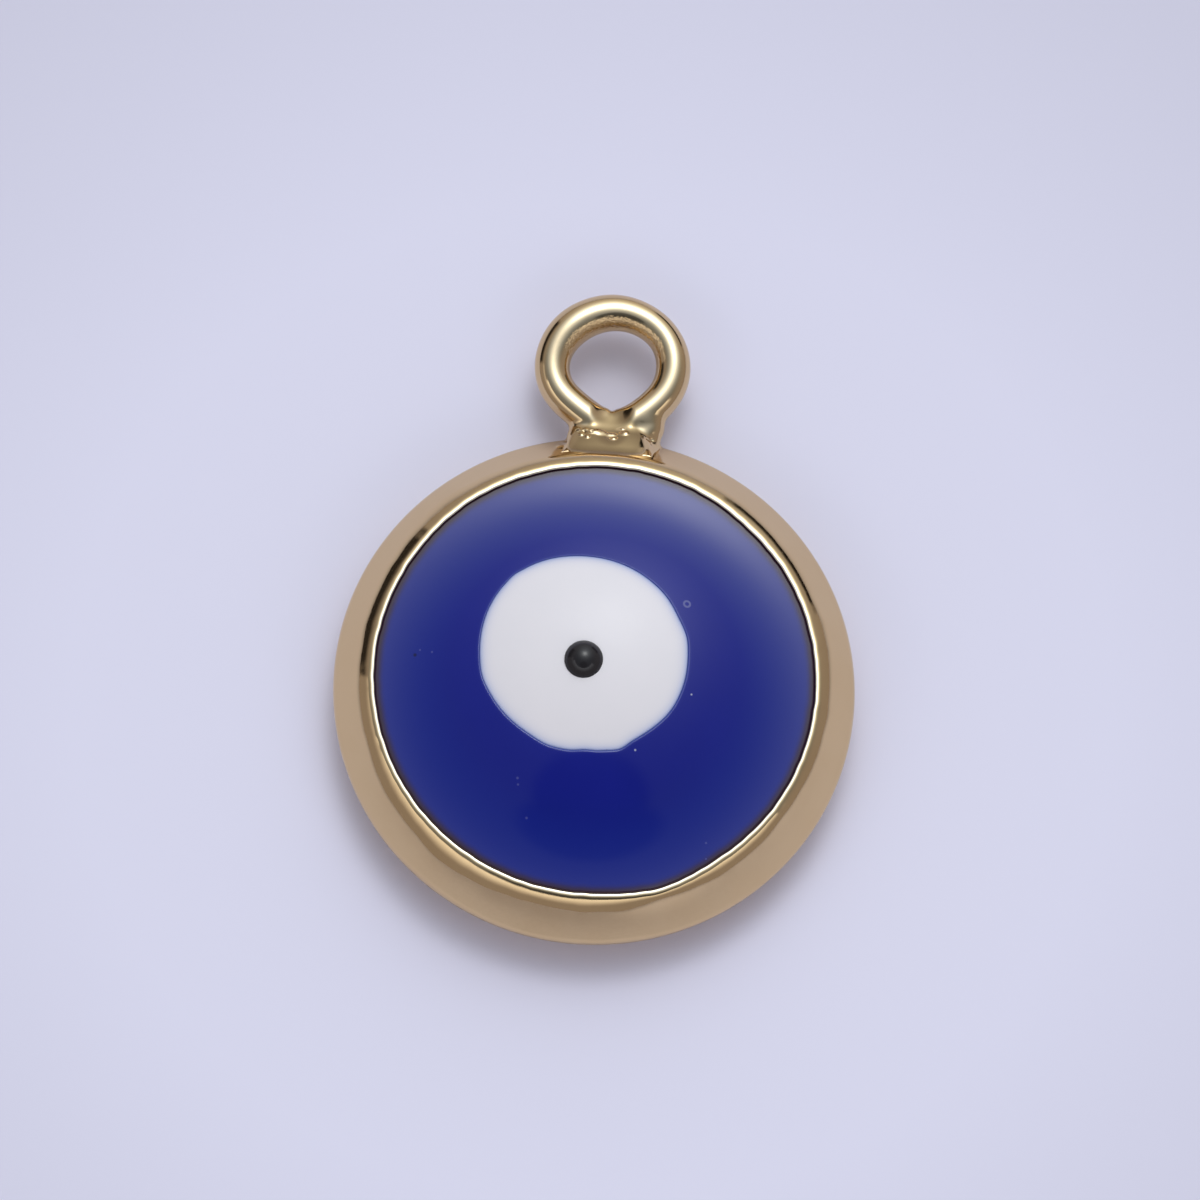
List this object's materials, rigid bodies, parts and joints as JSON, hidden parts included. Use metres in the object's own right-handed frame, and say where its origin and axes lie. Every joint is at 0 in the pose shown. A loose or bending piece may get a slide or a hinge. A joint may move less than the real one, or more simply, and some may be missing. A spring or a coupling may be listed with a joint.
{
  "type": "evil eye pendant",
  "caption": "Small round gold pendant with a domed blue enamel evil eye, a white spot, a black bead pupil and a soldered wire hanging ring.",
  "frame": {"origin": "middle of the flat back of the round setting", "axes": "+Z out of the enamelled face, +Y towards the hanging ring, +X to the right when the face is seen with the ring up"},
  "size_m": [0.01, 0.0129, 0.0029],
  "materials": {
    "gold": "polished gold-coloured metal, a little grainy at the solder",
    "blue": "glossy opaque deep blue enamel",
    "white": "glossy opaque cool white enamel",
    "black": "glossy opaque black enamel"
  },
  "bodies": {
    "root": {"gold_setting": "gold", "blue_enamel": "blue", "white_enamel": "white", "black_enamel": "black"}
  },
  "joints": []
}
